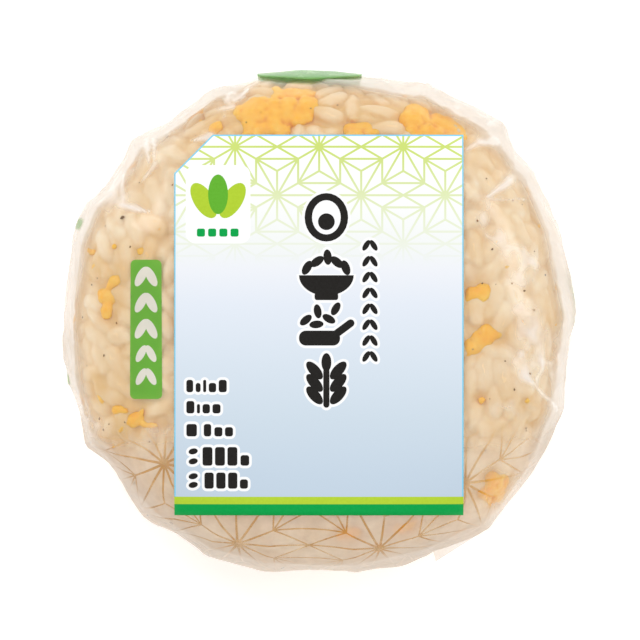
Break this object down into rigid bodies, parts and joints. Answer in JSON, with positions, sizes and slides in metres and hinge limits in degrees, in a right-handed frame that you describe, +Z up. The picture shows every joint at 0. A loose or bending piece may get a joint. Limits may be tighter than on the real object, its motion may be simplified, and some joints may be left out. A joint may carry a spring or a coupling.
{
  "type": "round onigiri in clear film",
  "caption": "Round fried rice and egg rice ball shut in clear film, with a patterned front label and a green seal tape, lying on its back.",
  "frame": {"origin": "on the surface that the pack lies on, under the middle of its outline", "axes": "+Z up out of the front label, +Y towards the top of the label and the seal tape, +X to the right of the label"},
  "size_m": [0.0822, 0.0808, 0.0356],
  "materials": {
    "wrapped_rice": "rice and egg seen through a thin clear glossy film",
    "label": "satin coated sticker, pale blue below white, with a lime star pattern at its top and stripes at its foot",
    "seal_tape": "pale green glossy tape"
  },
  "bodies": {
    "root": {"wrapped_rice": "wrapped_rice", "label": "label", "seal_tape": "seal_tape"}
  },
  "joints": []
}
